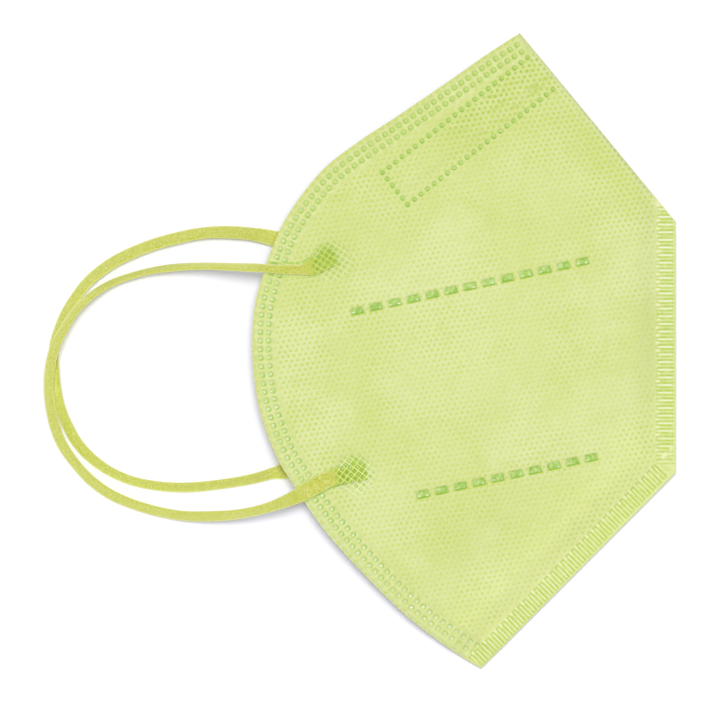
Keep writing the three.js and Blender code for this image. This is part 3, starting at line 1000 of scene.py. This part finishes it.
def strap_material():
    knit = Surface("strap", STRAP, {
        "Specular IOR Level": 0.3, "Sheen Weight": 0.2, "Sheen Roughness": 0.4,
    })
    run, across, pressed = knit.attribute("strap")
    rim, painted_light, _ = knit.attribute("strap_look")
    loops = knit_wave(across, run)
    speckle = knit.noise(0.3, 30, detail=3)
    knit.paint(STRAP_DARK, ramp(speckle - loops * 0.03, 0.49, 0.4) * 0.9)
    knit.paint(STRAP_LIGHT, ramp(speckle + loops * 0.03, 0.54, 0.63) * 0.8)
    # Painted highlight along the strap's two edges.
    knit.paint(STRAP_RIM_HIGHLIGHT, rim)
    knit.paint(STRAP_PRESSED, pressed * 0.6)
    for spot in SPOTS:
        paint_spot(knit, spot, STRAP_CELL, STRAP_RIDGE, pressed, spot["melt"])
    # Painted light: the colour is made lighter where the faces get less light.
    knit.brighten(painted_light)
    return knit.finish(0.8 - pressed * 0.35, (1 - pressed) * (loops * 0.03 + speckle * 0.1))


# ---- material: nose wire ----

WIRE = (236, 238, 232)
WIRE_STREAK = (214, 217, 208)


def wire_material():
    coat = Surface("wire", WIRE, {"Specular IOR Level": 0.5})
    streaks = coat.noise(0.35, 40, stretch=40, angle=FOLD.angle + 90)
    coat.paint(WIRE_STREAK, ramp(streaks, 0.45, 0.7))
    return coat.finish(0.45 + streaks * 0.15, streaks * 0.03)


FABRIC_MATERIAL = fabric_material()
LINING_MATERIAL = lining_material()
STRAP_MATERIAL = strap_material()
WIRE_MATERIAL = wire_material()

# ---- meshes ----

SMOOTH_ANGLE = 50


def make_object(name, vertices, faces, material):
    """A mesh object from places in millimetres."""
    mesh = bpy.data.meshes.new(name)
    mesh.from_pydata((np.asarray(vertices) * MM).tolist(), [], faces)
    mesh.update()
    mesh.materials.append(material)
    shade(mesh)
    return add_object(name, mesh)


def shade(mesh):
    mesh.shade_smooth()
    mesh.set_sharp_from_angle(angle=math.radians(SMOOTH_ANGLE))


def vectors_of(mesh, name):
    """The vertices' places, in the mesh's own unit, or their normals."""
    flat = np.empty(len(mesh.vertices) * 3)
    mesh.vertices.foreach_get(name, flat)
    return flat.reshape(-1, 3)


def tube_faces(rings, turned):
    """The sides and ends of a tube, from the numbers of its vertices ring by ring. The rings of a
    turned tube run the other way round."""
    ahead = np.roll(rings, -1, axis=1)
    sides = np.stack([rings[:-1], ahead[:-1], ahead[1:], rings[1:]], axis=-1).reshape(-1, 4)
    ends = np.stack([rings[0][::-1], rings[-1]])
    if turned:
        sides = sides[:, [0, 3, 2, 1]]
        ends = ends[:, ::-1]
    return [*sides.tolist(), *ends.tolist()]


def store(mesh, name, *fields):
    """Stores up to three numbers with each vertex, as a vector."""
    columns = np.broadcast_arrays(*fields, *[0.0] * (3 - len(fields)))
    attribute = mesh.attributes.new(name, "FLOAT_VECTOR", "POINT")
    attribute.data.foreach_set("vector", np.stack(columns, axis=-1).astype(np.float32).ravel())


# ---- ear loops ----

STATION_GAP = 0.18
LINE_STEPS = 40
SECTION_POINTS = 52
SECTION_STEPS = 720
SECTION_SQUARENESS = 5
STRAP_HATCH_DEPTH = HATCH_DEPTH * 0.8
# Where, inside the face edge, a strap comes to lie on the panel, how far it may sink there, over
# what length, and how many times lighter its colour is painted at most, as painted light against
# its shade.
OVER_PANEL = (-2.5, 0.5)
MOST_SINK = 3.0
SINK_BLEND = 1.6
MOST_PAINTED_LIGHT = 2.0
# The share of the light from around that the other strap and the mask take, and from how near.
STRAP_BLOCKS = 0.25
STRAP_BLOCK_REACH = (9, 3)
STRAP_BLOCK_FACING = (0.1, 0.6)
MASK_BLOCKS = 0.25
MASK_BLOCK_REACH = (-7, 0)


def strap_line(rows):
    """Places along the strap's middle line, their arc lengths, and the strap's lean in radians."""
    points = []
    for x, y, base, lean in rows:
        angle = math.radians(lean)
        half = (STRAP_WIDTH * math.sin(angle) + STRAP_THICKNESS * math.cos(angle)) / 2
        points.append((x, y, base + LIE_GAP + half, angle))
    line = catmull_rom(points, LINE_STEPS)
    arc = arc_lengths(line[:, :3])
    stations = np.linspace(0, arc[-1], round(arc[-1] / STATION_GAP) + 1)
    return stations, np.column_stack([np.interp(stations, arc, column) for column in line.T])


def from_ends(stations):
    """How far places along a strap are from the nearer one of its ends."""
    return np.minimum(stations, stations[-1] - stations)


def studio_light(normals, blocked):
    """The light on a face of the lying part, against one that faces up. The elastic shows the same
    colour all round in the photograph, so its steep faces are painted lighter by this, as painted
    light against their shade."""
    tilt = math.radians(SUN_TILT)
    up = normals[:, 2]
    towards_sun = np.maximum(up * math.cos(tilt) + normals[:, 1] * math.sin(tilt), 0)
    sun = SUN_STRENGTH / math.pi * towards_sun
    around = SKY_STRENGTH * (1 + up) / 2 + FLOOR_LIGHT * (1 - up) / 2
    return (sun + around * (1 - blocked)) / LIGHT_LEVEL


def strap_section():
    """Even places round the strap's section: across in millimetres, through from -1 to 1."""
    turn = np.linspace(0, 2 * np.pi, SECTION_STEPS + 1)
    power = 2 / SECTION_SQUARENESS
    across = np.sign(np.cos(turn)) * np.abs(np.cos(turn)) ** power * STRAP_WIDTH / 2
    through = np.sign(np.sin(turn)) * np.abs(np.sin(turn)) ** power * STRAP_THICKNESS / 2
    arc = arc_lengths(np.column_stack([across, through]))
    even = np.linspace(0, arc[-1], SECTION_POINTS, endpoint=False)
    return np.interp(even, arc, across), np.interp(even, arc, through) * 2 / STRAP_THICKNESS


def settle(places):
    """How far each section of a strap can sink until it touches the upper panel's fabric."""
    x, y, z = np.moveaxis(places, 2, 0)
    over = (face_inset(x, y) > 0) & (x > face_line[:, 0].min())
    clearance = np.full(x.shape, MOST_SINK)
    clearance[over] = z[over] - upper_face(x[over], y[over]) - PRESS_LIE
    sink = np.clip(clearance.min(axis=1), 0, MOST_SINK)
    reach = round(SINK_BLEND / STATION_GAP)
    sink = np.array([sink[max(0, i - reach) : i + reach + 1].min() for i in range(len(sink))])
    near = np.convolve(over.any(axis=1), np.ones(2 * reach + 1), "same") > 0
    even = np.ones(2 * reach + 1) / (2 * reach + 1)
    sink = np.where(near, sink, 0)
    return np.convolve(np.pad(sink, reach, "edge"), even, "valid")


def lying(x, y, lean, stations):
    """The lean where the strap lies on the upper panel, and the share of its full width that it has
    there, so that it shows as wide from above as it would with its lean."""
    over = ramp(face_inset(x, y), *OVER_PANEL)
    power = SECTION_SQUARENESS / (SECTION_SQUARENESS - 1)
    wide = STRAP_WIDTH / 2
    thick = STRAP_THICKNESS / 2
    tilt = np.abs(lean)
    seen = ((wide * np.cos(tilt)) ** power + (thick * np.sin(tilt)) ** power) ** (1 / power)
    share = np.where(stations < stations[-1] / 2, *LYING_WIDTH)
    seen = seen * (1 - (1 - share) * (1 - ramp(from_ends(stations), *FLARE)) * over)
    kept = tilt * (1 - (1 - LEAN_KEPT) * over)
    flat = (seen**power - (thick * np.sin(kept)) ** power) ** (1 / power) / np.cos(kept)
    return kept, flat / wide


def blocked_light(mesh, other_rows):
    """The share of the light from around that the other strap and the mask keep off the strap."""
    x, y = vectors_of(mesh, "co")[:, :2].T / MM
    _, step = nearest_on(strap_line(other_rows)[1][:, :2], x, y)
    far = np.linalg.norm(step, axis=1)
    facing = -(vectors_of(mesh, "normal")[:, :2] * step).sum(1) / np.maximum(far, 0.1)
    by_strap = STRAP_BLOCKS * ramp(far, *STRAP_BLOCK_REACH) * ramp(facing, *STRAP_BLOCK_FACING)
    return by_strap + MASK_BLOCKS * ramp(face_inset(x, y), *MASK_BLOCK_REACH)


def make_strap(node, rows, other_rows, sign):
    """A knitted strap: sign is 1 where it is welded on top of its panel and -1 where underneath."""
    stations, line = strap_line(rows)
    pressed = ramp(from_ends(stations), PRESSED_LENGTH + PRESS_BLEND, PRESSED_LENGTH)
    x, y, z, lean = line.T
    width = np.ones(len(x))
    if sign > 0:
        lean, width = lying(x, y, lean, stations)
    else:
        pit = SPOT_DEPTH * greater(*(spot_mask(x, y, spot) for spot in SPOTS))
        seat = lower_outer(x, y) - swell(x, y) + pit - HIDDEN_LIE - PRESSED_THICKNESS / 2
        z = z + (seat - z) * pressed
    middle = np.column_stack([x, y, z])
    tangent = np.gradient(middle, stations, axis=0)
    tangent /= np.linalg.norm(tangent, axis=1)[:, None]
    level = np.column_stack([-tangent[:, 1], tangent[:, 0], np.zeros(len(x))])
    level /= np.linalg.norm(level, axis=1)[:, None]
    normal = np.cross(tangent, level)

    # From here on there is a row for each station and a column for each place round the section.
    stations, pressed, lean, width = (flat[:, None] for flat in (stations, pressed, lean, width))
    across, through = strap_section()
    thickness = STRAP_THICKNESS + (PRESSED_THICKNESS - STRAP_THICKNESS) * pressed
    loops = KNIT_RELIEF * (knit_wave(across, stations) * (1 - pressed) - 1)
    height = through * (thickness / 2 + loops)
    side = level * np.cos(lean) + normal * np.sin(lean)
    thick = normal * np.cos(lean) - level * np.sin(lean)
    places = middle[:, None] + side[:, None] * (width * across)[..., None]
    places += thick[:, None] * height[..., None]
    if sign > 0:
        sink = settle(places)
        places[:, :, 2] -= sink[:, None]
        middle[:, 2] -= sink
    x, y, _ = np.moveaxis(places, 2, 0)
    outside = np.clip(through * sign, 0, 1) * pressed
    for spot in SPOTS:
        cells = spot_mask(x, y, spot) * (1 - hatch_ridge(x, y, spot))
        places[:, :, 2] -= sign * STRAP_HATCH_DEPTH * cells * outside

    faces = tube_faces(np.arange(x.size).reshape(x.shape), turned=False)
    strap = make_object(node + "_knit", places.reshape(-1, 3), faces, STRAP_MATERIAL)
    store(strap.data, "strap", stations, across, pressed)
    lies = across * width * np.cos(lean) - through * thickness / 2 * np.sin(lean)
    from_rim = np.minimum(lies - lies.min(1, keepdims=True), lies.max(1, keepdims=True) - lies)
    # How much painted highlight each place on the strap's edges gets.
    rim = ramp(from_rim, *RIM_HIGHLIGHT_REACH) * RIM_HIGHLIGHT_SHOWN * (1 - pressed)
    blocked = blocked_light(strap.data, other_rows) if sign < 0 else 0.0
    light = studio_light(vectors_of(strap.data, "normal"), blocked)
    # Painted light against the shade of the steep faces, stored with the rim highlight.
    store(strap.data, "strap_look", rim, np.minimum(1 / light, MOST_PAINTED_LIGHT).reshape(rim.shape))
    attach(strap, "root")
    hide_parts(node)
    stations[-1, 0] * MM


make_strap("ear_loop_right", RIGHT_LOOP, LEFT_LOOP, 1)
make_strap("ear_loop_left", LEFT_LOOP, RIGHT_LOOP, -1)

# ---- mask body ----

# The base meshes of the body and of its hollow: rows, columns, and how often the marked places of
# the lower and the upper layer are split. Points as near as MERGE_REACH at the two tips become one,
# or the hollow can't be cut.
BASE_ROW_GAP = 1.12
BASE_COLUMNS = 73
BASE_LEVELS = (1, 2)
HOLLOW_ROW_GAP = 2.6
HOLLOW_COLUMNS = 34
HOLLOW_LEVELS = (0, 0)
MERGE_REACH = 0.002

# How clearly the painted contact shadow, a green line beside the strap, shows above it and below
# it, at its first weld and at its last one, and where the line comes in from the weld.
CONTACT_SHADOW_SHOWN = ((0.9, 0.35), (0.35, 0.9))
CONTACT_FROM = (PRESSED_LENGTH - 2, PRESSED_LENGTH + 1)
CONTACT_OVERRUN = 2
OUTER_PLY = WALL * 0.75

# How far from the weld marks the base mesh is still split.
FINE_BAND = 3.6
FINE_WELDS = 5.8
FINE_POCKET = 1.5
FINE_POCKET_ENDS = 2
FINE_DASHES = 1.7
FINE_SPOTS = 1.2


def strap_contact(x, y, z):
    """How far places on the upper panel are from the rim of the strap that lies on it, and how
    much of the painted contact shadow, a dark green line along that rim, belongs there."""
    stations, line = strap_line(RIGHT_LOOP)
    over_mask = face_inset(line[:, 0], line[:, 1]) > -CONTACT_OVERRUN
    stations, line = stations[over_mask], line[over_mask]
    nearest, step = nearest_on(line[:, :2], x, y)
    lean = line[nearest, 3]
    half = (STRAP_WIDTH * np.cos(lean) + STRAP_THICKNESS * np.sin(lean)) / 2
    at_first = stations[nearest] < stations.mean()
    first, last = (np.where(step[:, 1] > 0, *shown) for shown in CONTACT_SHADOW_SHOWN)
    shown = np.where(at_first, first, last)
    shown = shown * ramp(from_ends(stations)[nearest], *CONTACT_FROM)
    on_top = z > upper_outer(x, y) - OUTER_PLY
    return np.hypot(*step.T) - half, shown * on_top


def detail_level(x, y, finest):
    """How often the base mesh is split at a place."""
    marked = np.abs(edge_frame(x, y)[1]) < FINE_BAND
    marked |= from_welds(x, y) < FINE_WELDS
    along, aside = pocket_frame(x, y)
    beside = (along > -FINE_POCKET_ENDS) & (along < POCKET_MARK_LENGTH + FINE_POCKET_ENDS)
    marked |= beside & (np.abs(np.abs(aside) - POCKET_MARK_HALF) < FINE_POCKET)
    marked |= (np.abs(along) < FINE_POCKET) & (np.abs(aside) < POCKET_MARK_HALF)
    marked |= dashes(x, y) < FINE_DASHES
    for spot in SPOTS:
        marked |= spot_distance(x, y, spot) < FINE_SPOTS
    return np.where(marked, finest, 0)


def outline_rows(spacing):
    """Heights of the rows from the chin to the nose tip, with one at each front corner."""
    stops = (CHIN_TIP[1], FRONT_BOTTOM[1], FRONT_TOP[1], NOSE_TIP[1])
    rows = [np.array(stops[:1])]
    for low, high in zip(stops, stops[1:]):
        rows.append(np.linspace(low, high, round((high - low) / spacing) + 1)[1:])
    return np.concatenate(rows)


def two_layer_mesh(rows, columns, left, right):
    """A closed slab over the rows, with its bottom at z 0 and its top at z 1."""
    x = left[:, None] + (right - left)[:, None] * np.linspace(0, 1, columns + 1)
    y = np.broadcast_to(rows[:, None], x.shape)
    layers = [np.stack([x, y, np.full_like(x, z)], axis=-1).reshape(-1, 3) for z in (0, 1)]
    low = np.arange(x.size).reshape(x.shape)
    high = low + x.size

    def quads(a, b):
        return np.stack([a[:-1], a[1:], b[1:], b[:-1]], axis=-1).reshape(-1, 4)

    return np.vstack(layers), np.vstack([
        quads(low[:, :-1], low[:, 1:]), quads(high[:, 1:], high[:, :-1]),
        quads(low[0], high[0]), quads(low[:, -1], high[:, -1]),
        quads(high[-1], low[-1]), quads(high[:, 0], low[:, 0]),
    ])


def refined(slab, levels):
    """A bmesh of triangles, with the faces of each layer split as often as levels[layer] says."""
    vertices, quads = slab
    bm = bmesh.new()
    corners = [bm.verts.new(v) for v in vertices]
    for quad in quads:
        bm.faces.new([corners[i] for i in quad])
    bmesh.ops.remove_doubles(bm, verts=bm.verts, dist=MERGE_REACH)
    for step in range(max(levels)):
        faces = [f for f in bm.faces if len({v.co.z for v in f.verts}) == 1]
        middles = np.array([f.calc_center_median() for f in faces])
        finest = np.where(middles[:, 2] > 0.5, levels[1], levels[0])
        chosen = detail_level(middles[:, 0], middles[:, 1], finest) > step
        edges = {e for f, wanted in zip(faces, chosen) if wanted for e in f.edges}
        bmesh.ops.subdivide_edges(bm, edges=list(edges), cuts=1, use_grid_fill=True)
    bmesh.ops.triangulate(bm, faces=bm.faces)
    return bm


def height_solid(name, slab, levels, bottom, top, material):
    """A solid over a two-layer mesh, between two height functions."""
    bm = refined(slab, levels)
    mesh = bpy.data.meshes.new(name)
    bm.to_mesh(mesh)
    bm.free()
    places = vectors_of(mesh, "co")
    x, y, layer = places.T
    places[:, 2] = np.where(layer > 0.5, top(x, y), bottom(x, y))
    mesh.vertices.foreach_set("co", (places * MM).ravel())
    mesh.update()
    mesh.materials.append(material)
    return add_object(name, mesh)


# Rings of a strip in the web, crowded towards the fold.
STRIP_RINGS = 80
STRIP_CROWDING = 1.5
pocket_to_fold = FOLD.inset(*POCKET_END)


def web_point(along, aside, depth):
    """A place in the web: along it from the fold, positive on the upper panel, aside and deep."""

    def place(inset):
        inset -= pocket_to_fold
        return (
            POCKET_END[0] + FOLD.inward[0] * inset - FOLD.inward[1] * aside,
            POCKET_END[1] + FOLD.inward[1] * inset + FOLD.inward[0] * aside,
        )

    arc = FOLD_HALF * math.pi / 2
    if abs(along) >= arc:
        x, y = place(FOLD_HALF + abs(along) - arc)
        height = upper_outer(x, y) - depth if along > 0 else lower_outer(x, y) + depth
        return x, y, float(height)
    x, y = place(FOLD_HALF)
    high = float(upper_outer(x, y))
    low = float(lower_outer(x, y))
    turn = along / FOLD_HALF
    radius = (high - low) / 2 - depth
    x, y = place(FOLD_HALF - radius * math.cos(turn))
    return x, y, (high + low) / 2 + radius * math.sin(turn)


def web_strip(name, length, width, shallow, deep):
    """A closed flat strip in the web, from one depth to another."""
    share = np.linspace(-1, 1, STRIP_RINGS + 1)
    stations = np.sign(share) * np.abs(share) ** STRIP_CROWDING * length / 2
    corners = ((-1, shallow), (1, shallow), (1, deep), (-1, deep))
    vertices = [
        web_point(along, side * width / 2, depth) for along in stations for side, depth in corners
    ]
    rings = np.arange(len(vertices)).reshape(-1, len(corners))
    return make_object(name, vertices, tube_faces(rings, turned=True), LINING_MATERIAL)


def combine(obj, tool, operation):
    """Cuts or joins with a second solid, which is used up."""
    modifier = obj.modifiers.new("combine", "BOOLEAN")
    modifier.object = tool
    modifier.operation = operation
    modifier.solver = "MANIFOLD"
    modifier.material_mode = "TRANSFER"
    bpy.context.view_layer.update()
    evaluated = obj.evaluated_get(bpy.context.evaluated_depsgraph_get())
    mesh = bpy.data.meshes.new_from_object(evaluated)
    obj.modifiers.clear()
    obj.data = mesh
    bpy.data.objects.remove(tool)


def make_body():
    rows = outline_rows(BASE_ROW_GAP)
    slab = two_layer_mesh(rows, BASE_COLUMNS, face_x(rows), right_x(rows, 0, 0))
    body = height_solid(
        "fabric_shell", slab, BASE_LEVELS, lower_face, upper_face, FABRIC_MATERIAL)
    rows = outline_rows(HOLLOW_ROW_GAP)
    right = right_x(rows, WALL, FLANGE_WIDTH + HOLLOW_SEAM_INSET)
    slab = two_layer_mesh(rows, HOLLOW_COLUMNS, face_x(rows) - HOLLOW_OVERRUN, right)
    hollow = height_solid(
        "hollow", slab, HOLLOW_LEVELS, lambda x, y: lower_outer(x, y) + WALL,
        lambda x, y: upper_outer(x, y) - WALL, LINING_MATERIAL,
    )
    top = WIRE_DEPTH - WIRE_GAP
    base = WIRE_DEPTH + WIRE_THICKNESS + WIRE_GAP
    width = WIRE_WIDTH + 2 * WIRE_GAP
    pocket = web_strip("pocket", POCKET_LENGTH, POCKET_WIDTH, WALL / 2, base + POCKET_PLY)
    channel = web_strip("channel", POCKET_LENGTH + 2 * MOUTH, width, top, base)
    combine(body, hollow, "DIFFERENCE")
    combine(body, pocket, "UNION")
    combine(body, channel, "DIFFERENCE")
    body.data.name = body.name
    shade(body.data)
    x, y, z = vectors_of(body.data, "co").T / MM
    store(body.data, "face_edge", *edge_frame(x, y))
    store(body.data, "strap_gap", *strap_contact(x, y, z))
    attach(body, "root")
    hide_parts("mask_body")


make_body()
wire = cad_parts["nose_wire"]
wire.data.materials.clear()
wire.data.materials.append(WIRE_MATERIAL)

# ---- floor, light ----

FLOOR_SIZE = 4.0
FLOOR_DROP = 0.02
PAPER = (266, 265, 275)
PAPER_SHADE = (265, 264, 274)


def make_floor():
    paper = Surface("paper", PAPER, {"Specular IOR Level": 0.0})
    grain = paper.noise(30, 50, detail=4)
    paper.paint(PAPER_SHADE, grain)
    material = paper.finish(0.95 - grain * 0.1, grain * 0.01)
    half = FLOOR_SIZE / 2 / MM
    corners = [(x * half, y * half, -FLOOR_DROP) for x, y in ((-1, -1), (1, -1), (1, 1), (-1, 1))]
    make_object("floor", corners, [(0, 1, 2, 3)], material)


def make_light():
    world = bpy.data.worlds.new("studio")
    world.use_nodes = True
    sky = world.node_tree.nodes["Background"]
    sky.inputs["Color"].default_value = (1, 1, 1, 1)
    sky.inputs["Strength"].default_value = SKY_STRENGTH
    bpy.context.scene.world = world
    sun = bpy.data.lights.new("key", "SUN")
    sun.energy = SUN_STRENGTH
    sun.angle = math.radians(SUN_WIDTH)
    add_object("key", sun).rotation_euler = (math.radians(-SUN_TILT), 0, 0)


make_floor()
make_light()
bpy.context.scene.view_settings.view_transform = "Standard"
